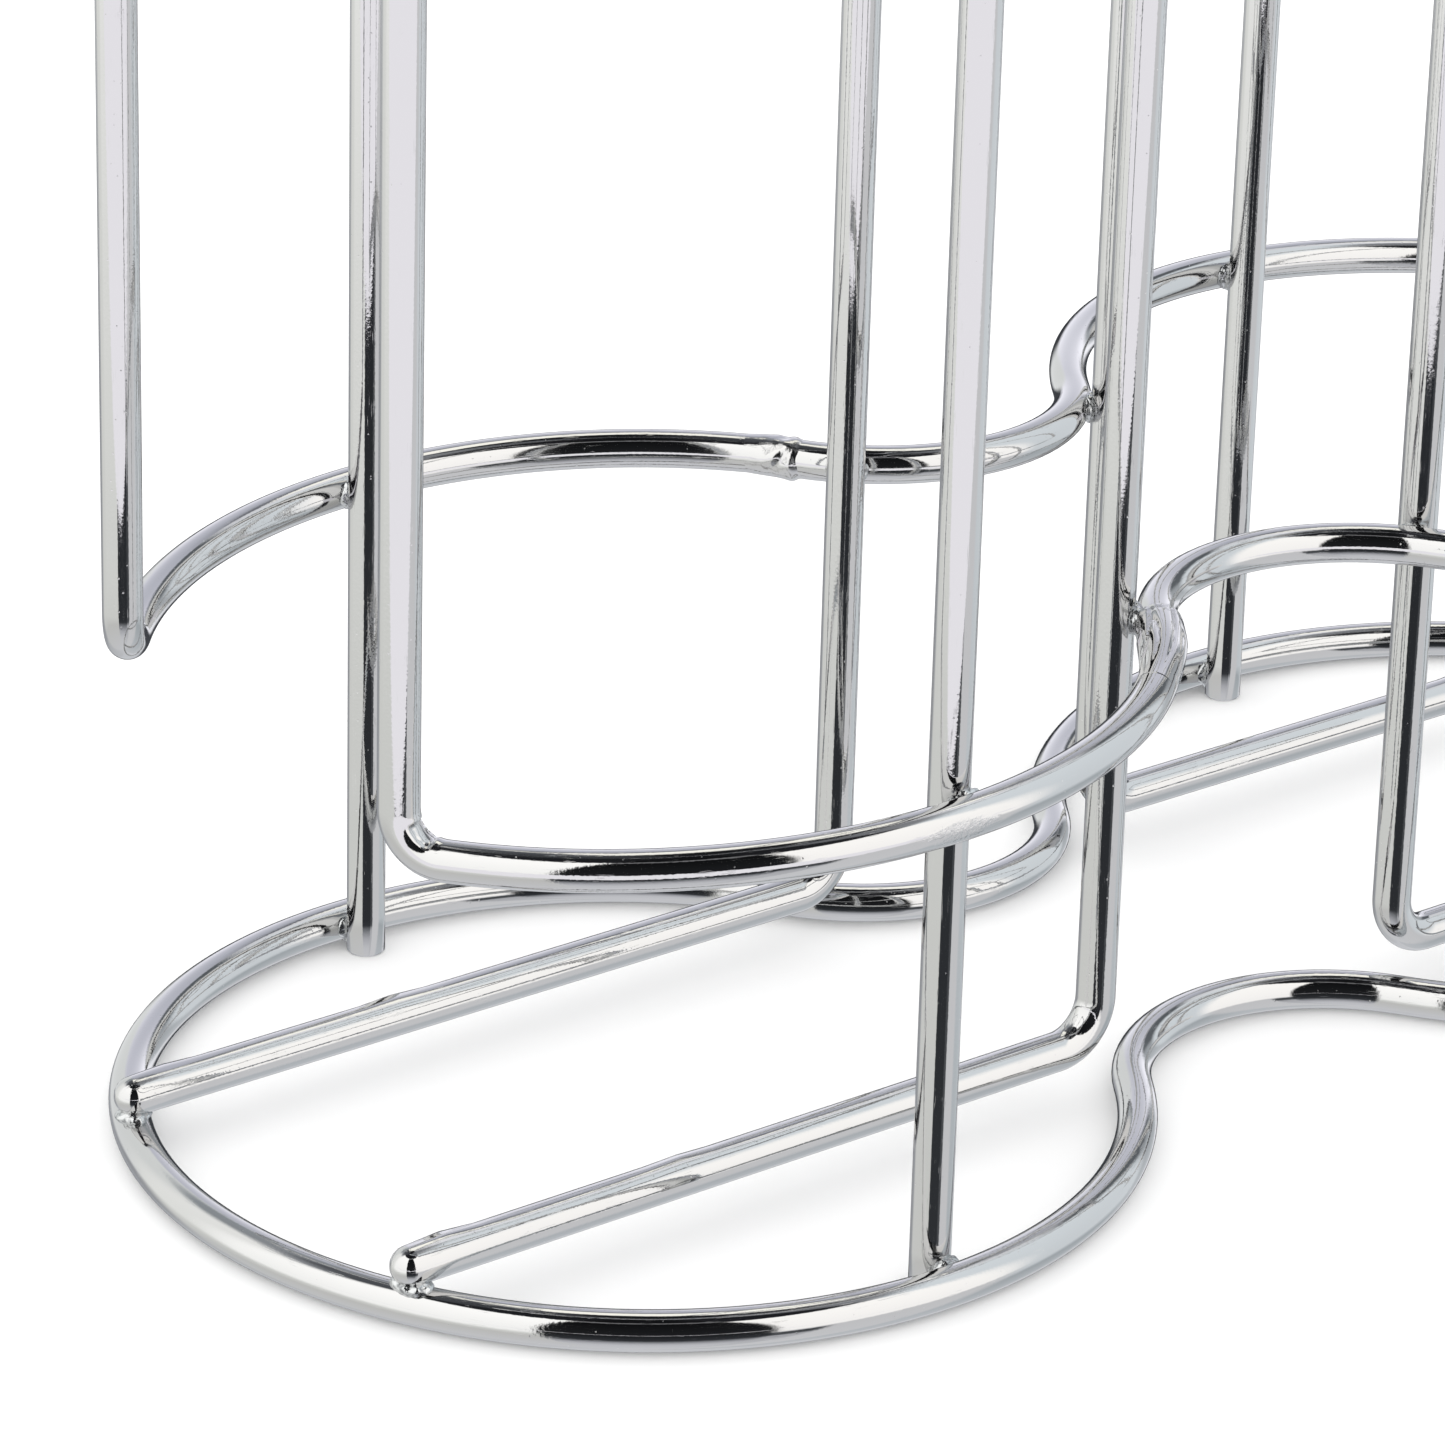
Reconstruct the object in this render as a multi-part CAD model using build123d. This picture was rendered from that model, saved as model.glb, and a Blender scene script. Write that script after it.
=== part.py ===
from build123d import *
import os
from math import asin, atan, cos, degrees, pi, radians, sin, sqrt

# Chrome wire stand for two columns of stacked mugs. All sizes are millimetres.
# +X runs along the long side, +Y to the rear, +Z up. The origin is on the
# floor, under the middle of the waist between the two columns.

# Driving dimensions
WIRE = 4.0  # diameter of every wire
LOBE_RADIUS = 50.0  # ring centreline round one column
LOBE_OFFSET = 60.0  # column axis, out from the middle of the stand
WAIST_RADIUS = 22.0  # concave bend between the two columns
MIDDLE_RING_Z = 51.5  # middle ring centreline at the waist
MIDDLE_RING_DROOP = 3.0  # degrees: each lobe of it slopes down to its slot
TOP_RING_Z = 262.0
SLOT = {"rear": 30.5, "front": 22.5}  # slot wires, out from the long axis
SLOT_BEND = 4.5  # centreline radius where a slot wire turns into a ring
ROD = {"rear": 21.0, "front": 23.5}  # floor rods, out from the long axis
ROD_BEND = 5.0  # centreline radius at the foot of an upright
FUSION = 0.02  # how far resistance welding sinks one wire into another
BEAD = 1.3  # radius of a weld bead
BEAD_REACH = 1.6  # from the point where two wires touch to the middle of a bead
COLLAR_RADIUS = 2.3  # weld metal round a butt joint
COLLAR_LENGTH = 4.5

R = WIRE / 2
PITCH = WIRE - FUSION  # centre distance of two wires welded side by side
WAIST_Y = sqrt((LOBE_RADIUS + WAIST_RADIUS) ** 2 - LOBE_OFFSET**2)
TURN = asin(WAIST_Y / (LOBE_RADIUS + WAIST_RADIUS))  # lobe and waist arcs meet here
JOIN_X = LOBE_OFFSET - LOBE_RADIUS * cos(TURN)
JOIN_Y = LOBE_RADIUS * sin(TURN)
SIDES = {"left": -1, "right": 1}
FACES = {"rear": 1, "front": -1}
CORNERS = [(side, face) for side in SIDES for face in FACES]
UP = Vector(0, 0, 1)


def along(path):
    """A round wire swept along a smooth path."""
    start = Plane(origin=path @ 0, z_dir=path % 0)
    return sweep(start * Circle(R), path=path)


def length_error(solid, path):
    """How far a wire's volume is from its section times its length."""
    return solid.volume / (pi * R**2 * path.length) - 1


def join(side, face, z):
    """Where the lobe arc meets the waist arc in one corner of a ring."""
    return Vector(SIDES[side] * JOIN_X, FACES[face] * JOIN_Y, z)


def lobe_point(side, face, z, droop, swing):
    """A point of a ring's lobe, swing radians on from the join, and its direction."""
    sx, sy = SIDES[side], FACES[face]
    ahead = Vector(sx * sin(TURN), sy * cos(TURN), 0)
    inward = Vector(sx * cos(TURN) * cos(droop), -sy * sin(TURN) * cos(droop), -sin(droop))
    place = ahead * (LOBE_RADIUS * sin(swing)) + inward * (LOBE_RADIUS * (1 - cos(swing)))
    return join(side, face, z) + place, ahead * cos(swing) + inward * sin(swing)


def waist_middle(face, z):
    """The narrowest point of a ring's waist."""
    return Vector(0, FACES[face] * (WAIST_Y - WAIST_RADIUS), z)


def base_ring():
    """The closed loop that stands on the floor: two lobes joined by a waist."""
    turn = degrees(TURN)
    right = CenterArc((LOBE_OFFSET, 0), LOBE_RADIUS, 180 + turn, 360 - 2 * turn)
    left = CenterArc((-LOBE_OFFSET, 0), LOBE_RADIUS, turn, 360 - 2 * turn)
    rear = CenterArc((0, WAIST_Y), WAIST_RADIUS, 180 + turn, 180 - 2 * turn)
    front = CenterArc((0, -WAIST_Y), WAIST_RADIUS, turn, 180 - 2 * turn)
    path = Pos(0, 0, R) * Wire([right, rear, left, front])
    return along(path), path


def slot_wire(side, face):
    """One wire: a middle ring arc, a bend, a slot upright, a bend, a top ring arc."""
    droop = radians(MIDDLE_RING_DROOP)
    reach = sqrt(LOBE_RADIUS**2 + SLOT_BEND**2)
    slot_angle = asin(SLOT[face] / reach) + atan(SLOT_BEND / LOBE_RADIUS)
    swing = pi - TURN - slot_angle
    low_join = join(side, face, MIDDLE_RING_Z)
    top_join = join(side, face, TOP_RING_Z)
    half_way, _ = lobe_point(side, face, MIDDLE_RING_Z, droop, swing / 2)
    corner, ahead = lobe_point(side, face, MIDDLE_RING_Z, droop, swing)
    level = Vector(ahead.X, ahead.Y, 0).normalized()
    rise = (UP - ahead * ahead.Z).normalized()
    foot = corner + (rise + level) * SLOT_BEND
    head = Vector(foot.X, foot.Y, TOP_RING_Z - SLOT_BEND)
    turned = head + (UP - level) * SLOT_BEND
    edges = [
        ThreePointArc(low_join, half_way, corner),
        TangentArc(corner, foot, tangent=ahead),
        Line(foot, head),
        TangentArc(head, turned, tangent=UP),
        TangentArc(turned, top_join, tangent=-level),
    ]
    if side == "right":  # the right-hand wires carry on round the waist
        far_low = join("left", face, MIDDLE_RING_Z)
        far_top = join("left", face, TOP_RING_Z)
        edges.insert(0, ThreePointArc(far_low, waist_middle(face, MIDDLE_RING_Z), low_join))
        edges.append(TangentArc(top_join, far_top, tangent=edges[-1] % 1))
    path = Wire(edges)
    return along(path), path


def upright_place(face):
    """Where a floor rod's upright stands: in the waist bend, against the ring."""
    y = ROD[face]
    return sqrt((WAIST_RADIUS + PITCH) ** 2 - (WAIST_Y - y) ** 2), y


def floor_rod(side, face):
    """One L-shaped wire: a rod lying on the base ring, turned up into an upright."""
    x, y = upright_place(face)
    sx, y = SIDES[side], FACES[face] * y
    z = R + PITCH
    tip = Vector(sx * (LOBE_OFFSET + sqrt(LOBE_RADIUS**2 - y**2)), y, z)
    heel = Vector(sx * (x + ROD_BEND), y, z)
    ankle = Vector(sx * x, y, z + ROD_BEND)
    end = Vector(sx * x, y, TOP_RING_Z)
    bend = TangentArc(heel, ankle, tangent=Vector(-sx, 0, 0))
    path = Wire([Line(tip, heel), bend, Line(ankle, end)])
    wire = along(path) + Pos(tip) * Sphere(R) + Pos(end) * Sphere(R)
    return wire, path


def side_post(side, face):
    """A straight upright inside the lobe, cut square where it stands on the floor."""
    foot = Vector(SIDES[side] * LOBE_OFFSET, FACES[face] * (LOBE_RADIUS - PITCH), 0)
    path = Line(foot, foot + UP * TOP_RING_Z)
    return along(path) + Pos(path @ 1) * Sphere(R), path


def post_contact(side, face, z, droop):
    """Where a side post touches a ring."""
    place, _ = lobe_point(side, face, z, droop, pi / 2 - TURN)
    return Vector(SIDES[side] * LOBE_OFFSET, FACES[face] * (LOBE_RADIUS - PITCH / 2), place.Z)


def upright_contact(side, face, z):
    """Where a floor rod's upright touches a ring's waist."""
    x, y = upright_place(face)
    centre = Vector(0, FACES[face] * WAIST_Y, z)
    out = Vector(SIDES[side] * x, FACES[face] * y, z) - centre
    return centre + out.normalized() * (WAIST_RADIUS + PITCH / 2)


def tip_bead_places(side, face):
    """Both sides of a floor rod's tip, along the base ring under it."""
    y = FACES[face] * ROD[face]
    out = sqrt(LOBE_RADIUS**2 - y**2)
    touch = Vector(SIDES[side] * (LOBE_OFFSET + out), y, R + PITCH / 2)
    ring_way = Vector(-SIDES[side] * y, out, 0).normalized()
    return [touch + ring_way * BEAD_REACH, touch - ring_way * BEAD_REACH]


def beads(places):
    """Weld beads with their middles at places, fused into the wires beside them."""
    return Compound([Pos(place) * Sphere(BEAD) for place in places])


def collars():
    """Weld metal through and round the four butt joints at the left end of the waist."""
    pieces = []
    for face in FACES:
        for z in (MIDDLE_RING_Z, TOP_RING_Z):
            _, ahead = lobe_point("left", face, z, 0, 0)
            joint = Plane(origin=join("left", face, z), z_dir=ahead)
            pieces.append(joint * Cylinder(COLLAR_RADIUS, COLLAR_LENGTH))
    return Compound(pieces)


def main():
    wires = {"base_ring": base_ring()}
    for side, face in CORNERS:
        wires[f"{side}_{face}_slot_wire"] = slot_wire(side, face)
        wires[f"{side}_{face}_floor_rod"] = floor_rod(side, face)
        wires[f"{side}_{face}_side_post"] = side_post(side, face)
    for name, (solid, path) in wires.items():
        print(name, "volume against section times length", round(length_error(solid, path), 4))

    nodes = {name: solid for name, (solid, _) in wires.items()}
    droop = radians(MIDDLE_RING_DROOP)
    lift = UP * BEAD_REACH
    base = [post_contact(*corner, R, 0) for corner in CORNERS]
    middle = [post_contact(*corner, MIDDLE_RING_Z, droop) for corner in CORNERS]
    middle += [upright_contact(*corner, MIDDLE_RING_Z) for corner in CORNERS]
    top = [post_contact(*corner, TOP_RING_Z, 0) for corner in CORNERS]
    top += [upright_contact(*corner, TOP_RING_Z) for corner in CORNERS]
    tips = [place for corner in CORNERS for place in tip_bead_places(*corner)]
    above_and_below = [touch + lift for touch in middle] + [touch - lift for touch in middle]
    nodes["base_ring_welds"] = beads([touch + lift for touch in base])
    nodes["floor_rod_tip_welds"] = beads(tips)
    nodes["middle_ring_welds"] = beads(above_and_below)
    nodes["top_ring_welds"] = beads([touch - lift for touch in top])
    nodes["ring_butt_welds"] = collars()

    os.makedirs("parts", exist_ok=True)
    for name, solid in nodes.items():
        export_step(solid, f"parts/{name}.step")


main()
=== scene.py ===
from math import acos, asin, atan, atan2, ceil, cos, pi, radians, sin, sqrt

import bpy
import numpy as np
from mathutils import Matrix, Quaternion, Vector, noise


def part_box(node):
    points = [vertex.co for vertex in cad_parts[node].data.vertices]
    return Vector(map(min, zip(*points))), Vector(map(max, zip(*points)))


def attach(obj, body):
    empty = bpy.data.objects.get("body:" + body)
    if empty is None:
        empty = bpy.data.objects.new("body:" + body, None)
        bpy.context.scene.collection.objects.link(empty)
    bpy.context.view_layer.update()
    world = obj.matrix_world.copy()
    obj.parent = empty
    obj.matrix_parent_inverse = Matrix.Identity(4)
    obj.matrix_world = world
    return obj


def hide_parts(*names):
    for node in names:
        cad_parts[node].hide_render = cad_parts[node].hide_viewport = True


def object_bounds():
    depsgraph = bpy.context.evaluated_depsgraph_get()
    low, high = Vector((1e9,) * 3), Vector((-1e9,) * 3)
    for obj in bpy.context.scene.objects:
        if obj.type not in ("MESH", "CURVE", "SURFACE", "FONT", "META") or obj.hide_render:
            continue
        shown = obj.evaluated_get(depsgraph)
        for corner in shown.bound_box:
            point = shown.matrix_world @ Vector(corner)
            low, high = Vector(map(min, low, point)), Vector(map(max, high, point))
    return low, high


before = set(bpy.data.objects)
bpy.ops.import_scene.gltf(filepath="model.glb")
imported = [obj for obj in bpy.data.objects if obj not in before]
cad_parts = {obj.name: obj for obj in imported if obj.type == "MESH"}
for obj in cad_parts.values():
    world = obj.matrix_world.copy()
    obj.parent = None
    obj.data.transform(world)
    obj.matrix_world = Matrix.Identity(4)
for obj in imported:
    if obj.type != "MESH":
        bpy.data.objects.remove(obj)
cad_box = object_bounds()

# Chrome wire stand for two columns of mugs. Metres: +X along the long side,
# +Y to the rear, +Z up, the floor at zero.

MM = 0.001
UP = Vector((0, 0, 1))
SIDES = {"left": -1, "right": 1}
FACES = {"rear": 1, "front": -1}
CORNERS = [(side, face) for side in SIDES for face in FACES]

# Sizes read from the frame
ring_low, ring_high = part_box("base_ring")
butt_low, butt_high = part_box("ring_butt_welds")
WIRE = ring_high.z - ring_low.z
R = WIRE / 2
LOBE_RADIUS = (ring_high.y - ring_low.y) / 2 - R
LOBE_OFFSET = ring_high.x - R - LOBE_RADIUS
JOIN_X = -(butt_low.x + butt_high.x) / 2
TURN = acos((LOBE_OFFSET - JOIN_X) / LOBE_RADIUS)  # lobe and waist arcs meet here
JOIN_Y = LOBE_RADIUS * sin(TURN)
WAIST_RADIUS = LOBE_OFFSET / cos(TURN) - LOBE_RADIUS
WAIST_Y = (LOBE_RADIUS + WAIST_RADIUS) * sin(TURN)
TOP_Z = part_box("left_rear_slot_wire")[1].z - R
COLLAR = butt_high.z - TOP_Z  # radius of the weld metal round a butt joint
MIDDLE_Z = butt_low.z + COLLAR
ROD_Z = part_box("left_rear_floor_rod")[0].z + R
PITCH = ROD_Z - R  # centre distance of two wires welded side by side

# Sizes of the maker's bending and welding tools
SLOT_BEND = 4.5 * MM  # centreline radius where a slot wire turns into a ring
ROD_BEND = 5.0 * MM  # centreline radius at the foot of an upright
CHAMFER = 0.2 * MM  # sheared edge at the foot of a side post
SPOKES = 48  # faces round a wire
ARC_STEP = 1.5 * MM  # length of a face along a long arc
LINE_STEP = 4.0 * MM
TIGHT_STEP = 0.22 * MM  # along a bend made round a pin
DOME = [radians(a) for a in (12, 28, 44, 60, 75, 90)]  # from the pole of a domed end

# What the tools leave on a wire
PIN_FLAT = 0.42 * MM  # depth of the flat that the pin presses inside a tight bend
PIN_WRINKLE = 0.09 * MM
PIN_FADE = (1.5 * MM, 2.3 * MM)  # from the bend's middle, where the flat begins to fade and ends
PIN_EDGE = (radians(40), radians(52))  # the same round the wire, from its inner side
MARK_LENGTH, MARK_WIDTH, MARK_DEPTH = 7.0 * MM, 2.3 * MM, 0.10 * MM  # of a welding electrode
MARK_ASIDE = 3.0 * MM  # from the side post's weld
BURRS = ((5.5 * MM, 5 * MM), (31 * MM, 4 * MM))  # distance from a floor rod's tip, and length
BURR_HEIGHT = 0.28 * MM

# Weld metal
LENS = (2.2, 1.7, 0.85)  # half length, half width and half thickness in millimetres
LENS_LUMPS = ((2.3 * MM, 0.6), (0.8 * MM, 0.2), (0.3 * MM, 0.06))  # size, height in millimetres
SLEEVE_BACK = 1.2 * MM  # how far a butt joint's sleeve starts before the joint
SLEEVE_BACK_RINGS = 12
SLEEVE_SPOKES = 96
SLEEVE_INSIDE = 0.96  # of the wire's radius, where the sleeve is sunk into it
STEP_AT = 0.55 * MM  # where the sleeve's step stands before the joint
STEP_RAGGED = 0.25 * MM
CREASE_LENGTH = 14 * MM
SLEEVES = {
    "front": {"length": 16 * MM, "rings": 110, "step": 0.25 * MM, "thins": 4.0 * MM,
              "torn": 2.2 * MM},
    "rear": {"length": 8 * MM, "rings": 56, "step": 1.1 * MM, "thins": 2.5 * MM,
             "torn": 6.0 * MM},
}


def linear(code):
    """An sRGB hex colour as linear RGBA."""
    parts = [int(code[i:i + 2], 16) / 255 for i in (0, 2, 4)]
    return [c / 12.92 if c <= 0.04045 else ((c + 0.055) / 1.055) ** 2.4 for c in parts] + [1.0]


def add_node(tree, kind, inputs=None, **settings):
    """A node with its settings. An input is a value, a socket or a node's first output."""
    made = tree.nodes.new(kind)
    for key, value in settings.items():
        setattr(made, key, value)
    for key, value in (inputs or {}).items():
        if isinstance(value, bpy.types.Node):
            value = value.outputs[0]
        if isinstance(value, bpy.types.NodeSocket):
            tree.links.new(value, made.inputs[key])
        else:
            made.inputs[key].default_value = value
    return made


# ---------------------------------------------------------------- materials

def new_material(name):
    """An empty node material and its tree."""
    made = bpy.data.materials.new(name)
    made.use_nodes = True
    made.node_tree.nodes.clear()
    return made, made.node_tree


def chrome_plated_wire():
    """Bright decorative chrome over drawn low-carbon steel wire. The die leaves fine lines
    along the wire, which make the edges of the reflections grainy; handling adds hair
    scratches and pits, the welding electrodes leave dull pressed marks, and damp finds a
    few pores, where a rust speck shows."""
    made, tree = new_material("bright chrome plate on drawn wire")
    place = add_node(tree, "ShaderNodeAttribute", attribute_name="along_wire").outputs["Vector"]
    pressed = add_node(tree, "ShaderNodeAttribute", attribute_name="pressed").outputs["Fac"]

    def stretched(across, along, detail):
        """Noise across mm wide and along mm long on the wire's own surface."""
        scale = (1 / (across * MM), 1 / (across * MM), 1 / (along * MM))
        spot = add_node(tree, "ShaderNodeMapping", {"Vector": place, "Scale": scale})
        inputs = {"Vector": spot.outputs[0], "Scale": 1.0, "Detail": detail}
        return add_node(tree, "ShaderNodeTexNoise", inputs).outputs["Fac"]

    sway = stretched(9, 14, 1.0)  # the wire is never quite straight or round
    ripple = stretched(1.6, 9, 2.0)  # slight rolling marks left by the straightener
    lines = stretched(0.13, 16, 3.0)  # die lines
    mottle = stretched(0.35, 0.35, 3.0)

    # the steel's grain shows through thin plate, more in some stretches than in others; it is
    # drawn two or three times as coarse as it really is, to show at all
    thin_plate = add_node(tree, "ShaderNodeMapRange", {
        "Value": stretched(9, 24, 1.0), "From Min": 0.4, "From Max": 0.62,
        "To Min": 0.3, "To Max": 1.0})
    grain = add_node(tree, "ShaderNodeMath", {0: stretched(0.22, 0.35, 1.0), 1: thin_plate},
                     operation="MULTIPLY")

    # hair scratches, where the wire was handled
    handled = add_node(tree, "ShaderNodeMapRange", {
        "Value": stretched(1.1, 2.6, 2.0), "From Min": 0.52, "From Max": 0.7,
        "To Min": 0.0, "To Max": 1.0})
    hairs = add_node(tree, "ShaderNodeMapRange", {
        "Value": stretched(0.09, 2.2, 0.0), "From Min": 0.62, "From Max": 0.72,
        "To Min": 0.0, "To Max": 1.0})
    scratch = add_node(tree, "ShaderNodeMath", {0: hairs, 1: handled}, operation="MULTIPLY")

    # a pit in the middle of about a quarter of the small cells
    pore = add_node(tree, "ShaderNodeTexVoronoi", {"Vector": place, "Scale": 1 / (0.9 * MM)})
    pore_lot = add_node(tree, "ShaderNodeSeparateColor", {0: pore.outputs["Color"]})
    pitted = add_node(tree, "ShaderNodeMapRange", {
        "Value": pore_lot.outputs[0], "From Min": 0.72, "From Max": 0.74,
        "To Min": 0.0, "To Max": 1.0})
    hole = add_node(tree, "ShaderNodeMapRange", {
        "Value": pore.outputs["Distance"], "From Min": 0.05, "From Max": 0.13,
        "To Min": 1.0, "To Max": 0.0})
    pit = add_node(tree, "ShaderNodeMath", {0: hole, 1: pitted}, operation="MULTIPLY")

    # a rust speck in the middle of a few of the large cells
    damp = add_node(tree, "ShaderNodeTexVoronoi", {"Vector": place, "Scale": 1 / (7.0 * MM)})
    damp_lot = add_node(tree, "ShaderNodeSeparateColor", {0: damp.outputs["Color"]})
    rusted = add_node(tree, "ShaderNodeMapRange", {
        "Value": damp_lot.outputs[1], "From Min": 0.86, "From Max": 0.87,
        "To Min": 0.0, "To Max": 1.0})
    speck = add_node(tree, "ShaderNodeMapRange", {
        "Value": damp.outputs["Distance"], "From Min": 0.02, "From Max": 0.045,
        "To Min": 1.0, "To Max": 0.0})
    rust = add_node(tree, "ShaderNodeMath", {0: speck, 1: rusted}, operation="MULTIPLY")

    # how dull each of these makes the plate
    line_haze = add_node(tree, "ShaderNodeMapRange", {
        "Value": lines, "From Min": 0.35, "From Max": 0.7, "To Min": 0.02, "To Max": 0.07})
    ripple_haze = add_node(tree, "ShaderNodeMapRange", {
        "Value": ripple, "From Min": 0.4, "From Max": 0.8, "To Min": 0.0, "To Max": 0.04})
    haze = add_node(tree, "ShaderNodeMath", {0: line_haze, 1: ripple_haze}, operation="ADD")
    matt = add_node(tree, "ShaderNodeMapRange", {
        "Value": mottle, "From Min": 0.35, "From Max": 0.65, "To Min": 0.14, "To Max": 0.42})
    press_haze = add_node(tree, "ShaderNodeMath", {0: pressed, 1: matt}, operation="MULTIPLY")
    dull = add_node(tree, "ShaderNodeMath", {0: press_haze, 1: haze}, operation="ADD")
    scratch_haze = add_node(tree, "ShaderNodeMath", {0: scratch, 1: 0.16}, operation="MULTIPLY")
    pit_haze = add_node(tree, "ShaderNodeMath", {0: pit, 1: 0.3}, operation="MULTIPLY")
    worn = add_node(tree, "ShaderNodeMath", {0: scratch_haze, 1: pit_haze}, operation="ADD")
    dull_and_worn = add_node(tree, "ShaderNodeMath", {0: dull, 1: worn}, operation="ADD")
    rust_haze = add_node(tree, "ShaderNodeMath", {0: rust, 1: 0.6}, operation="MULTIPLY")
    rough = add_node(tree, "ShaderNodeMath", {0: dull_and_worn, 1: rust_haze}, operation="ADD")

    # the relief, from the longest waves to the marks
    waves = add_node(tree, "ShaderNodeBump", {
        "Strength": 1.0, "Distance": 0.022 * MM, "Height": sway})
    rolls = add_node(tree, "ShaderNodeBump", {
        "Strength": 1.0, "Distance": 0.0035 * MM, "Height": ripple, "Normal": waves})
    drawn = add_node(tree, "ShaderNodeBump", {
        "Strength": 1.0, "Distance": 0.0007 * MM, "Height": lines, "Normal": rolls})
    grainy = add_node(tree, "ShaderNodeBump", {
        "Strength": 1.0, "Distance": 0.005 * MM, "Height": grain, "Normal": drawn})
    pit_depth = add_node(tree, "ShaderNodeMath", {0: pit, 1: -0.007}, operation="MULTIPLY")
    scratch_depth = add_node(tree, "ShaderNodeMath", {0: scratch, 1: -0.004},
                             operation="MULTIPLY")
    marks = add_node(tree, "ShaderNodeMath", {0: pit_depth, 1: scratch_depth}, operation="ADD")
    crumpled = add_node(tree, "ShaderNodeMath", {0: pressed, 1: mottle}, operation="MULTIPLY")
    crush = add_node(tree, "ShaderNodeMath", {0: crumpled, 1: 0.11}, operation="MULTIPLY")
    relief = add_node(tree, "ShaderNodeMath", {0: marks, 1: crush}, operation="ADD")
    marked = add_node(tree, "ShaderNodeBump", {
        "Strength": 1.0, "Distance": MM, "Height": relief, "Normal": grainy})
    metal = add_node(tree, "ShaderNodeMapRange", {
        "Value": rust, "From Min": 0.2, "From Max": 0.8, "To Min": 1.0, "To Max": 0.0})
    # sockets 0, 6 and 7 of a colour mix are its factor and its two colours
    colour = add_node(tree, "ShaderNodeMix", {0: rust, 6: linear("c8c8c8"), 7: linear("7c4f2e")},
                      data_type="RGBA")
    surface = add_node(tree, "ShaderNodeBsdfPrincipled", {
        "Base Color": colour.outputs[2], "Metallic": metal, "Roughness": rough,
        "Normal": marked.outputs[0]})
    add_node(tree, "ShaderNodeOutputMaterial", {"Surface": surface.outputs[0]})
    return made


def chrome_plated_weld():
    """Weld metal squeezed out between two wires, frozen in lumps and plated with them: as
    bright as the wire but broken into small crumpled facets, with painted shade making it greyer in
    the creases."""
    made, tree = new_material("chrome plate over squeezed weld metal")
    place = add_node(tree, "ShaderNodeTexCoord").outputs["Object"]
    lumps = add_node(tree, "ShaderNodeTexNoise",
                     {"Vector": place, "Scale": 1 / (0.7 * MM), "Detail": 3.0})
    facets = add_node(tree, "ShaderNodeTexVoronoi", {"Vector": place, "Scale": 1 / (0.45 * MM)})
    crumple = add_node(tree, "ShaderNodeBump", {"Strength": 0.8, "Distance": 0.16 * MM,
                                                "Height": lumps.outputs["Fac"]})
    broken = add_node(tree, "ShaderNodeBump", {"Strength": 0.6, "Distance": 0.05 * MM,
                                               "Height": facets.outputs["Distance"],
                                               "Normal": crumple.outputs[0]})
    rough = add_node(tree, "ShaderNodeMapRange", {
        "Value": lumps.outputs["Fac"], "From Min": 0.35, "From Max": 0.65,
        "To Min": 0.24, "To Max": 0.08}).outputs[0]
    # painted shade: where the lumps are low, in the creases, the colour turns darker grey
    painted_crease_shade = add_node(tree, "ShaderNodeValToRGB", {"Fac": lumps.outputs["Fac"]})
    painted_crease_shade.color_ramp.elements[0].position = 0.36
    painted_crease_shade.color_ramp.elements[0].color = linear("8d8f91")
    painted_crease_shade.color_ramp.elements[1].position = 0.52
    painted_crease_shade.color_ramp.elements[1].color = linear("c9cbcc")
    surface = add_node(tree, "ShaderNodeBsdfPrincipled", {
        "Base Color": painted_crease_shade.outputs[0], "Metallic": 1.0, "Roughness": rough,
        "Normal": broken.outputs[0]})
    add_node(tree, "ShaderNodeOutputMaterial", {"Surface": surface.outputs[0]})
    return made


wire_chrome = chrome_plated_wire()
weld_chrome = chrome_plated_weld()


# -------------------------------------------------------------- wire bending

def legs_of(place, heading, stops):
    """A chain of straight and tangent-arc legs from place: each stop is where one ends."""
    legs = []
    for kind, target in stops:
        chord = target - place
        if kind == "line":
            legs.append(("line", chord, chord.length, LINE_STEP))
        else:
            sideways = (chord - heading * chord.dot(heading)).normalized()
            radius = chord.length_squared / (2 * chord.dot(sideways))
            angle = 2 * atan2(chord.dot(sideways), chord.dot(heading))
            centre, axis = place + sideways * radius, heading.cross(sideways)
            step = ARC_STEP if radius > 2 * ROD_BEND else TIGHT_STEP
            legs.append(("arc", (centre, axis, angle), radius * angle, step))
            heading = Quaternion(axis, angle) @ heading
        place = target
    return legs, heading


def grow(step, scale):
    """One more ring on the open end of a wire, moved on and made wider or narrower."""
    bpy.ops.mesh.extrude_region_move(TRANSFORM_OT_translate={"value": step})
    bpy.ops.transform.resize(value=(scale, scale, scale))


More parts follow.
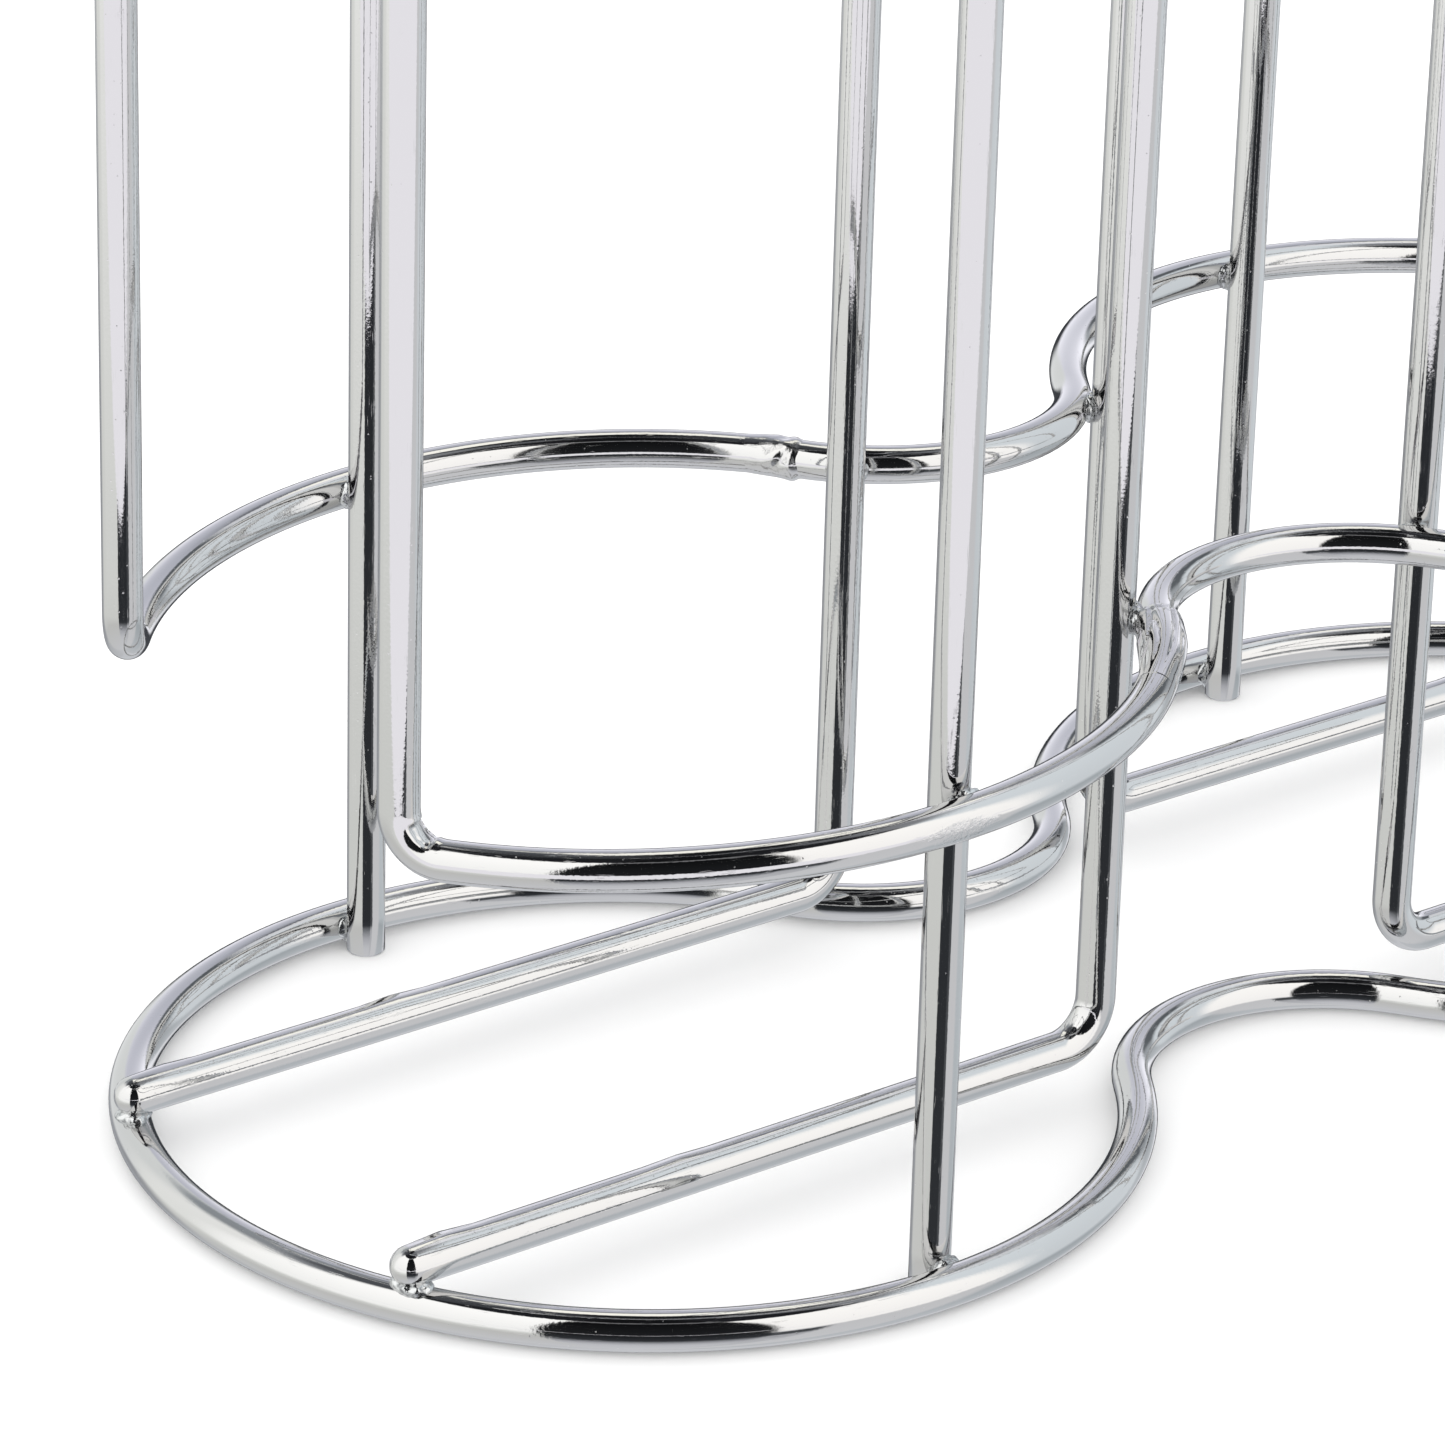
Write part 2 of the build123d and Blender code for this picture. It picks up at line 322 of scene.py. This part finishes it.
def bend_wire(node, place, heading, stops, start="open", end="open"):
    """A round wire from place along its stops. An end is open, cut or domed. Gives the
    object and its rings of points: distance along the wire, centre and points."""
    legs, last = legs_of(place, heading, stops)
    first = {"open": R, "cut": R - CHAMFER, "dome": R * sin(DOME[0])}[start]
    depth = R * cos(DOME[0]) if start == "dome" else 0.0
    bpy.ops.object.select_all(action="DESELECT")
    bpy.ops.mesh.primitive_circle_add(
        vertices=SPOKES, radius=first, fill_type="NOTHING", location=place - heading * depth,
        rotation=heading.to_track_quat("Z", "Y").to_euler())
    piece = bpy.context.object
    piece.name = piece.data.name = node + "_plated"
    bpy.ops.object.mode_set(mode="EDIT")
    bpy.ops.mesh.select_all(action="SELECT")
    along = [-depth]
    if start == "cut":
        grow(heading * CHAMFER, R / first)
        along.append(CHAMFER)
    if start == "dome":
        for before, after in zip(DOME, DOME[1:]):
            grow(heading * R * (cos(before) - cos(after)), sin(after) / sin(before))
            along.append(-R * cos(after))
    at, bends = 0.0, []
    for kind, what, length, step in legs:
        steps = ceil(length / step)
        if kind == "line":
            for _ in range(steps):
                grow(what / steps, 1.0)
        else:
            centre, axis, angle = what  # spin turns left-handed, so its angle is negative
            bpy.ops.mesh.spin(steps=steps, angle=-angle, center=centre, axis=axis)
            if step == TIGHT_STEP:
                bends.append((at, at + length, centre))
        along += [at + length * (k + 1) / steps for k in range(steps)]
        at += length
    if end == "dome":
        for before, after in zip(reversed(DOME), reversed(DOME[:-1])):
            grow(last * R * (cos(after) - cos(before)), sin(after) / sin(before))
            along.append(at + R * cos(after))
    bpy.ops.object.mode_set(mode="OBJECT")
    bpy.ops.object.transform_apply(location=True, rotation=True, scale=True)
    flat = np.empty(len(piece.data.vertices) * 3, np.float32)
    piece.data.vertices.foreach_get("co", flat)
    points = flat.reshape(len(along), SPOKES, 3).astype(float)
    return piece, np.array(along), points, bends


def finish_wire(piece, node, along, points, pressed, lot):
    """Puts the worked points back, closes the ends and hands the wire to the frame."""
    piece.data.vertices.foreach_set("co", points.astype(np.float32).ravel())
    note_surface(piece, along, pressed, lot)
    close_mesh(piece)
    hand_over(piece, node, wire_chrome)


def note_surface(piece, along, pressed, lot):
    """Each point's place on the straight wire, before bending, and how dull it was pressed."""
    spoke = np.arange(pressed.shape[1]) * 2 * pi / pressed.shape[1]
    straight = np.empty(pressed.shape + (3,))
    straight[..., 0] = R * np.cos(spoke)
    straight[..., 1] = R * np.sin(spoke)
    straight[..., 2] = along[:, None] + lot  # another length of the coil for each wire
    place = piece.data.attributes.new("along_wire", "FLOAT_VECTOR", "POINT")
    place.data.foreach_set("vector", straight.astype(np.float32).ravel())
    mark = piece.data.attributes.new("pressed", "FLOAT", "POINT")
    mark.data.foreach_set("value", pressed.astype(np.float32).ravel())


def close_mesh(piece):
    """Merges doubles, closes open ends, turns the faces outwards and smooths them."""
    bpy.ops.object.select_all(action="DESELECT")
    piece.select_set(True)
    bpy.context.view_layer.objects.active = piece
    bpy.ops.object.mode_set(mode="EDIT")
    bpy.ops.mesh.select_all(action="SELECT")
    bpy.ops.mesh.remove_doubles(threshold=0.0005 * MM)
    bpy.ops.mesh.select_all(action="SELECT")
    bpy.ops.mesh.fill_holes(sides=0)
    bpy.ops.mesh.select_all(action="SELECT")
    bpy.ops.mesh.normals_make_consistent(inside=False)
    bpy.ops.object.mode_set(mode="OBJECT")
    bpy.ops.object.shade_smooth_by_angle(angle=radians(50))


def hand_over(piece, node, material):
    """The piece stands for its CAD node and moves with the stand."""
    piece.data.materials.append(material)
    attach(piece, "stand")
    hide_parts(node)


def ease(value, low, high):
    """0 below low, 1 above high, smooth between."""
    t = np.clip((value - low) / (high - low), 0, 1)
    return t * t * (3 - 2 * t)


def roughness_of(points, size, seed=0.0):
    """Smooth noise from -1 to 1 at each point, with lumps of that size."""
    flat = points.reshape(-1, 3) / size + seed
    return np.array([noise.noise(Vector(p)) for p in flat]).reshape(points.shape[:-1])


def outward(points):
    """Each point's direction out of the wire."""
    out = points - points.mean(axis=1, keepdims=True)
    return out / np.maximum(np.linalg.norm(out, axis=2, keepdims=True), 1e-9)


def crush_bend(along, points, start, end, centre):
    """The pin that a tight bend is made round flattens its inner side and wrinkles it."""
    middle = (start + end) / 2
    near = np.abs(along - middle) < 0.75 * (end - start) + R
    part = points[near]
    out = outward(part)
    to_pin = np.array(centre) - part.mean(axis=1)
    to_pin /= np.linalg.norm(to_pin, axis=1, keepdims=True)
    inner = np.einsum("ijk,ik->ij", out, to_pin)
    reach = 1 - ease(np.abs(along[near] - middle), *PIN_FADE)
    worn = ease(inner, cos(PIN_EDGE[1]), cos(PIN_EDGE[0])) * reach[:, None]
    wrinkle = roughness_of(part, 0.45 * MM) * worn * (1 - ease(inner, 0.86, 0.97))
    depth = PIN_FLAT * worn * np.clip(inner, 0, 1) + PIN_WRINKLE * wrinkle
    points[near] = part - out * depth[..., None]


def press_mark(along, points, pressed, at, facing):
    """A dull flat where a welding electrode pressed on the wire."""
    out = outward(points)
    facing = np.array(facing) / np.linalg.norm(facing)
    side = np.clip(out @ facing, -1, 1)
    across = np.arccos(side) * R / (MARK_WIDTH / 2)
    away = np.abs(along - at) / (MARK_LENGTH / 2)
    spot = np.sqrt(across**2 + away[:, None] ** 2)
    ragged = spot + 0.18 * roughness_of(points, 0.8 * MM) if spot.min() < 2 else spot
    mark = 1 - ease(ragged, 0.8, 1.0)
    points -= out * (MARK_DEPTH * mark)[..., None]
    np.maximum(pressed, mark, out=pressed)


def raise_burr(along, points, at, facing, length):
    """Metal pushed up along one side of a wire by the cutter or a clamp."""
    near = np.abs(along - at) < length
    part = points[near]
    out = outward(part)
    side = np.clip(out @ np.array(facing), 0, 1)
    away = 1 - ease(np.abs(along[near] - at), 0.25 * length, 0.5 * length)
    lumps = 0.55 + 0.9 * roughness_of(part, 0.6 * MM)
    points[near] = part + out * (BURR_HEIGHT * side**3 * away[:, None] * lumps)[..., None]


# -------------------------------------------------------------------- wires

def join(side, face, z):
    """Where the lobe arc meets the waist arc in one corner of a ring."""
    return Vector((SIDES[side] * JOIN_X, FACES[face] * JOIN_Y, z))


def lobe_point(side, face, z, droop, swing):
    """A point of a ring's lobe, swing radians on from the join, and its direction."""
    sx, sy = SIDES[side], FACES[face]
    ahead = Vector((sx * sin(TURN), sy * cos(TURN), 0))
    inward = Vector((sx * cos(TURN) * cos(droop), -sy * sin(TURN) * cos(droop), -sin(droop)))
    place = ahead * (LOBE_RADIUS * sin(swing)) + inward * (LOBE_RADIUS * (1 - cos(swing)))
    return join(side, face, z) + place, ahead * cos(swing) + inward * sin(swing)


def slot_swing(side, face):
    """How far round the lobe a slot wire's ring arc runs, from the slot wire's place."""
    low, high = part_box(f"{side}_{face}_slot_wire")
    x = (high.x if SIDES[side] > 0 else -low.x) - R - LOBE_OFFSET
    reach = sqrt(LOBE_RADIUS**2 + SLOT_BEND**2)
    return pi - TURN - acos(x / reach) - atan(SLOT_BEND / LOBE_RADIUS)


def droop_of(side, face):
    """How steeply the middle ring's lobe slopes down to its slot."""
    low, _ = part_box(f"{side}_{face}_slot_wire")
    fall = MIDDLE_Z - R - low.z
    return asin(fall / (LOBE_RADIUS * (1 - cos(slot_swing(side, face)))))


def make_base_ring():
    """The closed loop on the floor: two lobes joined by a waist."""
    stops = [("arc", join(*corner, R)) for corner in
             (("left", "front"), ("right", "front"), ("right", "rear"), ("left", "rear"))]
    heading = lobe_point("left", "rear", R, 0, 0)[1]
    piece, along, points, _ = bend_wire("base_ring", join("left", "rear", R), heading, stops)
    finish_wire(piece, "base_ring", along, points, np.zeros(points.shape[:2]), 0.0)


def make_slot_wire(side, face, lot):
    """One wire: a middle ring arc, a bend, a slot upright, a bend, a top ring arc."""
    node = f"{side}_{face}_slot_wire"
    droop, swing = droop_of(side, face), slot_swing(side, face)
    corner, ahead = lobe_point(side, face, MIDDLE_Z, droop, swing)
    level = Vector((ahead.x, ahead.y, 0)).normalized()
    rise = (UP - ahead * ahead.z).normalized()
    foot = corner + (rise + level) * SLOT_BEND
    head = Vector((foot.x, foot.y, TOP_Z - SLOT_BEND))
    turned = head + (UP - level) * SLOT_BEND
    stops = [("arc", corner), ("arc", foot), ("line", head), ("arc", turned),
             ("arc", join(side, face, TOP_Z))]
    start, heading = join(side, face, MIDDLE_Z), lobe_point(side, face, MIDDLE_Z, 0, 0)[1]
    before = 0.0
    if side == "right":  # the right-hand wires carry on round the waist
        stops = [("arc", start)] + stops + [("arc", join("left", face, TOP_Z))]
        start = join("left", face, MIDDLE_Z)
        heading = -lobe_point("left", face, MIDDLE_Z, 0, 0)[1]
        before = WAIST_RADIUS * (pi - 2 * TURN)
    piece, along, points, bends = bend_wire(node, start, heading, stops)
    pressed = np.zeros(points.shape[:2])
    for begin, stop, centre in bends:
        crush_bend(along, points, begin, stop, centre)
    post_at = before + LOBE_RADIUS * (pi / 2 - TURN)
    press_mark(along, points, pressed, post_at - FACES[face] * MARK_ASIDE,
               (SIDES[side] * 0.1, FACES[face], 0.0))
    finish_wire(piece, node, along, points, pressed, lot)


def make_floor_rod(side, face, lot):
    """One L-shaped wire: a rod lying on the base ring, turned up into an upright."""
    node = f"{side}_{face}_floor_rod"
    low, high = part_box(node)
    sx, y = SIDES[side], (low.y + high.y) / 2
    x = abs(low.x if sx > 0 else high.x) + R
    tip = Vector((sx * (LOBE_OFFSET + sqrt(LOBE_RADIUS**2 - y**2)), y, ROD_Z))
    heel = Vector((sx * (x + ROD_BEND), y, ROD_Z))
    ankle = Vector((sx * x, y, ROD_Z + ROD_BEND))
    end = Vector((sx * x, y, TOP_Z))
    stops = [("line", heel), ("arc", ankle), ("line", end)]
    piece, along, points, _ = bend_wire(node, tip, Vector((-sx, 0, 0)), stops, "dome", "dome")
    for at, length in BURRS:
        raise_burr(along, points, at, (0, 0.3, 0.95), length)
    finish_wire(piece, node, along, points, np.zeros(points.shape[:2]), lot)


def make_side_post(side, face, lot):
    """A straight upright inside the lobe, cut square where it stands on the floor."""
    node = f"{side}_{face}_side_post"
    low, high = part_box(node)
    foot = Vector(((low.x + high.x) / 2, (low.y + high.y) / 2, low.z))
    piece, along, points, _ = bend_wire(
        node, foot, UP, [("line", Vector((foot.x, foot.y, TOP_Z)))], "cut", "dome")
    finish_wire(piece, node, along, points, np.zeros(points.shape[:2]), lot)


# -------------------------------------------------------------------- welds

def squeezed_weld(place, across, along):
    """Metal squeezed out round the point where two wires touch: a thin, ragged lens, with
    across pointing from one wire to the other and along the way it spreads most."""
    bpy.ops.object.select_all(action="DESELECT")
    bpy.ops.mesh.primitive_ico_sphere_add(subdivisions=5, radius=1.0 * MM, location=(0, 0, 0))
    bead = bpy.context.object
    bpy.ops.object.mode_set(mode="EDIT")
    bpy.ops.mesh.select_all(action="SELECT")
    bpy.ops.transform.resize(value=LENS)
    bpy.ops.object.mode_set(mode="OBJECT")
    flat = np.empty(len(bead.data.vertices) * 3, np.float32)
    bead.data.vertices.foreach_get("co", flat)
    points = flat.reshape(-1, 3).astype(float)
    seed = np.array(place) / MM
    out = points / np.linalg.norm(points, axis=1, keepdims=True)
    lumps = sum(roughness_of(points, size, seed) * height for size, height in LENS_LUMPS)
    points += out * (lumps * MM)[:, None]
    side = across.cross(along).normalized()
    turn = np.array([along.normalized(), side, across.normalized()])
    points = points @ turn + np.array(place)
    points[:, 2] = np.maximum(points[:, 2], cad_box[0].z)  # flat where it meets the floor
    bead.data.vertices.foreach_set("co", points.astype(np.float32).ravel())
    return bead


def join_pieces(name, pieces):
    """Several meshes as one piece."""
    bpy.ops.object.select_all(action="DESELECT")
    for piece in pieces:
        piece.select_set(True)
    bpy.context.view_layer.objects.active = pieces[0]
    bpy.ops.object.join()
    whole = bpy.context.object
    whole.name = whole.data.name = name
    return whole


def post_weld(side, face, z, droop):
    """The weld between a side post and a ring."""
    place, way = lobe_point(side, face, z, droop, pi / 2 - TURN)
    out = Vector((0, FACES[face], 0))
    return squeezed_weld(place - out * PITCH / 2, out, way)


def upright_weld(side, face, z):
    """The weld between a floor rod's upright and a ring's waist."""
    low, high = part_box(f"{side}_{face}_floor_rod")
    x = (low.x + R) if side == "right" else (high.x - R)
    centre = Vector((0, FACES[face] * WAIST_Y, z))
    out = (Vector((x, (low.y + high.y) / 2, z)) - centre).normalized()
    return squeezed_weld(centre + out * (WAIST_RADIUS + PITCH / 2), out, out.cross(UP))


def tip_weld(side, face):
    """The weld under a floor rod's tip, where it lies on the base ring."""
    low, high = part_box(f"{side}_{face}_floor_rod")
    y = (low.y + high.y) / 2
    x = SIDES[side] * (LOBE_OFFSET + sqrt(LOBE_RADIUS**2 - y**2))
    way = Vector((y, -(x - SIDES[side] * LOBE_OFFSET), 0))
    return squeezed_weld(Vector((x, y, R + PITCH / 2)), UP, way)


def butt_weld(face, z):
    """Metal upset round a butt joint: a step on the waist side, then a sleeve that thins out
    into the lobe's wire. In front it is sheared and creased lengthwise, behind it is lumpy."""
    place, way = lobe_point("left", face, z, 0, 0)
    shape = SLEEVES[face]
    length = shape["length"]
    bpy.ops.object.select_all(action="DESELECT")
    bpy.ops.mesh.primitive_circle_add(
        vertices=SLEEVE_SPOKES, radius=R * SLEEVE_INSIDE, fill_type="NOTHING",
        location=place - way * SLEEVE_BACK, rotation=way.to_track_quat("Z", "Y").to_euler())
    sleeve = bpy.context.object
    bpy.ops.object.mode_set(mode="EDIT")
    bpy.ops.mesh.select_all(action="SELECT")
    for _ in range(SLEEVE_BACK_RINGS):
        grow(way * SLEEVE_BACK / SLEEVE_BACK_RINGS, 1.0)
    centre = Vector((-LOBE_OFFSET, 0, z))
    turn = way.cross(centre - place).normalized()
    bpy.ops.mesh.spin(steps=shape["rings"], angle=-length / LOBE_RADIUS, center=centre, axis=turn)
    bpy.ops.object.mode_set(mode="OBJECT")
    bpy.ops.object.transform_apply(location=True, rotation=True, scale=True)
    flat = np.empty(len(sleeve.data.vertices) * 3, np.float32)
    sleeve.data.vertices.foreach_get("co", flat)
    points = flat.reshape(-1, SLEEVE_SPOKES, 3).astype(float)
    out = outward(points)
    run = np.concatenate([np.linspace(-SLEEVE_BACK, 0, SLEEVE_BACK_RINGS + 1),
                          np.linspace(0, length, shape["rings"] + 1)[1:]])
    edge = run[:, None] + STEP_AT + STEP_RAGGED * roughness_of(points, 2.4 * MM)
    body = ease(edge, 0.0, shape["step"])
    thin = 1 - ease(run[:, None], shape["thins"], length - 0.5 * MM)
    torn = 1 - ease(run[:, None], 0.4 * MM, shape["torn"])
    if face == "front":  # sharp creases between rounded ridges; heights in millimetres
        spoke = np.arange(SLEEVE_SPOKES) * 2 * pi / SLEEVE_SPOKES
        creases = np.array([[
            noise.noise(Vector((1.5 * cos(a), 1.5 * sin(a), s / CREASE_LENGTH + z / MM)))
            for a in spoke] for s in run])
        ridges = np.clip(np.abs(creases) * 4, 0, 1) ** 0.6
        swell = 0.15 + 0.42 * ridges + 0.08 * torn * roughness_of(points, 0.8 * MM)
    else:
        swell = 0.27 + 0.30 * torn * roughness_of(points, 1.3 * MM)
    swell *= body * thin
    points += out * (swell * MM)[..., None]
    points[..., 2] = np.minimum(points[..., 2], cad_box[1].z)
    sleeve.data.vertices.foreach_set("co", points.astype(np.float32).ravel())
    note_surface(sleeve, run, body * torn * 0.25, z)
    return sleeve


def make_welds():
    """All five groups of welds."""
    tilt = {corner: droop_of(*corner) for corner in CORNERS}
    groups = {
        "base_ring_welds": [post_weld(*corner, R, 0) for corner in CORNERS],
        "floor_rod_tip_welds": [tip_weld(*corner) for corner in CORNERS],
        "middle_ring_welds": [post_weld(*corner, MIDDLE_Z, tilt[corner]) for corner in CORNERS]
        + [upright_weld(*corner, MIDDLE_Z) for corner in CORNERS],
        "top_ring_welds": [post_weld(*corner, TOP_Z, 0) for corner in CORNERS]
        + [upright_weld(*corner, TOP_Z) for corner in CORNERS],
        "ring_butt_welds": [butt_weld(face, z) for face in FACES for z in (MIDDLE_Z, TOP_Z)],
    }
    for node, pieces in groups.items():
        whole = join_pieces(node + "_plated", pieces)
        close_mesh(whole)
        skin = wire_chrome if node == "ring_butt_welds" else weld_chrome
        hand_over(whole, node, skin)


make_base_ring()
for number, corner in enumerate(CORNERS):
    make_slot_wire(*corner, 1.0 + number)
    make_floor_rod(*corner, 5.0 + number)
    make_side_post(*corner, 9.0 + number)
make_welds()


# ------------------------------------------------------------------- studio

AZIMUTH, ELEVATION, ROLL = radians(-38.66), radians(23.06), radians(1.537)
AIM = Vector((0.00495, 0.06866, 0.002))
DISTANCE = 0.75823
TOWARDS = Vector((sin(AZIMUTH), -cos(AZIMUTH), 0))  # level, from the stand to the camera
RIGHT = Vector((cos(AZIMUTH), sin(AZIMUTH), 0))


def make_camera():
    """A long lens, close to the floor, on the left-hand front corner."""
    back = TOWARDS * cos(ELEVATION) + UP * sin(ELEVATION)
    camera = bpy.data.objects.new("camera", bpy.data.cameras.new("camera"))
    bpy.context.scene.collection.objects.link(camera)
    camera.location = AIM + back * DISTANCE
    turn = (-back).to_track_quat("-Z", "Y").to_matrix()
    camera.rotation_euler = (turn @ Matrix.Rotation(ROLL, 3, "Z")).to_euler()
    camera.data.sensor_width = 36
    camera.data.lens = 168.42
    bpy.context.scene.camera = camera


CHROME_SHARE = 0.57  # how much of what it sees bright chrome gives back

# What the chrome shows of the studio, as the look of its reflection. Each side begins at an
# azimuth from the camera, in degrees to the right, and lists elevation and colour.
BACKDROP = [(-90, "c0c1c5"), (-25, "c4c5c9"), (-3, "e8e8ee"), (8, "e4e4ec"), (27, "b6b7c1"),
            (38, "a8aab4"), (44, "94969e"), (46, "6a6c72"), (49, "70727a"), (51, "f3f1e8"),
            (66, "f5f3ea"), (68, "1c1d1f"), (90, "18191b")]
DOORWAY = [(-90, "c0c1c5"), (-42, "aeb0b4"), (-34, "3c3e42"), (-2, "2c2e32"),
           (6, "dcdce4")] + BACKDROP[4:]  # the backdrop with a dark opening low down
STUDIO = [
    (-190, 1, DOORWAY),
    (-165, 4, [(-90, "bebfc3"), (-42, "a2a4a7"), (-34, "8a8c90"), (-20, "86888c"), (-12, "c4c6c6"),
               (34, "c9cbca"), (40, "84898d"), (52, "828589"), (56, "505256"), (90, "202124")]),
    (-125, 12, [(-90, "bebfc3"), (-36, "b6b7b6"), (-23, "c4c5c2"), (-12, "d8d9d6"), (44, "dededc"),
                (52, "8a8c90"), (60, "4a4c50"), (90, "1c1d20")]),
    (-95, 10, [(-90, "bebfc3"), (-34, "b8b8b6"), (-23, "c6c7c4"), (-12, "eeeeec"), (60, "fbfaf8"),
               (64, "fbfaf8"), (66, "1e1f22"), (90, "18191b")]),
    (-18, 1.5, [(-90, "c0c1c5"), (-60, "b8b9bd"), (-48, "a2a3a8"), (-38, "74767a"),
                 (-31, "303235"), (-20, "26282b"), (0, "1b1c1e"), (61, "0f1011"),
                (63, "6c6c6e"), (65.5, "6c6c6e"), (67.5, "0f1011"), (90, "161719")]),
    (31, 1.5, [(-90, "c0c1c4"), (-36, "a2a3a7"), (-30, "4a4c4f"), (-19, "3c3e41"), (-16, "bdbdbf"),
               (-11, "f0eeec"), (56, "f8f6f3"), (60, "f8f6f3"), (62, "1e1f22"), (90, "18191b")]),
    (43, 2, [(-90, "c0c1c4"), (-16, "bdbdbf"), (-11, "f0eeec"), (56, "f8f6f3"),
             (60, "f8f6f3"), (62, "1e1f22"), (90, "18191b")]),
    (88, 8, [(-90, "b6b8bb"), (-60, "aeb2b6"), (-30, "9aa0a4"), (-20, "c2c7cb"),
             (58, "ccd2d6"), (64, "7c7e82"), (90, "202124")]),
    (136, 4, [(-90, "b6b8bb"), (-25, "a8acb0"), (8, "8e9296"), (14, "585c60"), (40, "54585c"),
              (45, "c4c6ca"), (60, "dcdce0"), (68, "303236"), (90, "18191b")]),
    (152, 3, BACKDROP),
    (160, 4, DOORWAY),
]


def make_studio():
    """Soft white light on the floor, and for the chrome a studio to reflect: softboxes left
    and right, a dark gap between them where the camera stands, a pale backdrop behind."""
    world = bpy.data.worlds.new("studio")
    bpy.context.scene.world = world
    world.use_nodes = True
    tree = world.node_tree
    tree.nodes.clear()
    way = add_node(tree, "ShaderNodeTexCoord").outputs["Generated"]

    rightward = add_node(tree, "ShaderNodeVectorMath", {0: way, 1: RIGHT},
                         operation="DOT_PRODUCT").outputs["Value"]
    forward = add_node(tree, "ShaderNodeVectorMath", {0: way, 1: TOWARDS},
                       operation="DOT_PRODUCT").outputs["Value"]
    upward = add_node(tree, "ShaderNodeVectorMath", {0: way, 1: UP},
                      operation="DOT_PRODUCT").outputs["Value"]
    bearing = add_node(tree, "ShaderNodeMath", {0: rightward, 1: forward}, operation="ARCTAN2")
    azimuth = add_node(tree, "ShaderNodeMath", {0: bearing}, operation="DEGREES")
    climb = add_node(tree, "ShaderNodeMath", {0: upward}, operation="ARCSINE")
    elevation = add_node(tree, "ShaderNodeMath", {0: climb}, operation="DEGREES")
    from_below = add_node(tree, "ShaderNodeMath", {0: elevation, 1: 90.0}, operation="ADD")
    height = add_node(tree, "ShaderNodeMath", {0: from_below, 1: 180.0}, operation="DIVIDE")
    colour = None
    for begins, soft, stops in STUDIO:
        ramp = add_node(tree, "ShaderNodeValToRGB", {"Fac": height})
        marks = ramp.color_ramp.elements
        marks[0].position, marks[1].position = 0.0, 1.0
        marks[0].color, marks[1].color = linear(stops[0][1]), linear(stops[-1][1])
        for degrees, code in stops[1:-1]:
            marks.new((degrees + 90) / 180).color = linear(code)
        if colour is None:
            colour = ramp.outputs[0]
            continue
        edge = {"Value": azimuth, "From Min": begins - soft, "From Max": begins + soft}
        inside = add_node(tree, "ShaderNodeMapRange", edge, interpolation_type="SMOOTHSTEP")
        mixed = add_node(tree, "ShaderNodeMix", {0: inside.outputs[0], 6: colour, 7: ramp.outputs[0]},
                         data_type="RGBA")
        colour = mixed.outputs[2]
    seen = add_node(tree, "ShaderNodeBackground", {"Color": colour, "Strength": 1 / CHROME_SHARE})
    light = add_node(tree, "ShaderNodeBackground", {"Color": linear("ffffff"), "Strength": 1.42})
    path = add_node(tree, "ShaderNodeLightPath")
    both = add_node(tree, "ShaderNodeMixShader", {
        0: path.outputs["Is Glossy Ray"], 1: light.outputs[0], 2: seen.outputs[0]})
    add_node(tree, "ShaderNodeOutputWorld", {"Surface": both.outputs[0]})
    world.cycles.sampling_method = "NONE"  # so that the chrome meets only the studio
    bpy.context.scene.view_settings.view_transform = "Standard"


def make_floor():
    """A sheet of matt white paper, wide enough to have no edge in view."""
    bpy.ops.object.select_all(action="DESELECT")
    bpy.ops.mesh.primitive_plane_add(size=8, location=(0, 0, 0))
    floor = bpy.context.object
    floor.name = "floor"
    paper, tree = new_material("matt white paper")
    surface = add_node(tree, "ShaderNodeBsdfDiffuse", {"Color": linear("f5f5f5")})
    add_node(tree, "ShaderNodeOutputMaterial", {"Surface": surface.outputs[0]})
    floor.data.materials.append(paper)
    floor.visible_glossy = False  # the chrome sees the studio's own floor instead


def make_front_sheet():
    """A glowing sheet between the stand and the camera, for the chrome alone: painted light that
    stands in for lit white floor in its reflections.
    """
    near, far, half_width = 0.20, 2.0, 1.2
    bpy.ops.object.select_all(action="DESELECT")
    bpy.ops.mesh.primitive_plane_add(
        size=1, location=TOWARDS * (near + far) / 2, rotation=(0, 0, AZIMUTH))
    sheet = bpy.context.object
    sheet.name = "front_sheet"
    sheet.scale = (2 * half_width, far - near, 1)
    white, tree = new_material("glowing sheet painted as lit floor")
    # painted light: the sheet glows with the colour of lit white floor, and is no lamp
    glow = add_node(tree, "ShaderNodeEmission",
                    {"Color": linear("e0dee3"), "Strength": 1 / CHROME_SHARE})
    add_node(tree, "ShaderNodeOutputMaterial", {"Surface": glow.outputs[0]})
    white.cycles.emission_sampling = "NONE"
    sheet.data.materials.append(white)
    for ray in ("camera", "diffuse", "shadow", "transmission", "volume_scatter"):
        setattr(sheet, "visible_" + ray, False)


make_camera()
make_studio()
make_floor()
make_front_sheet()
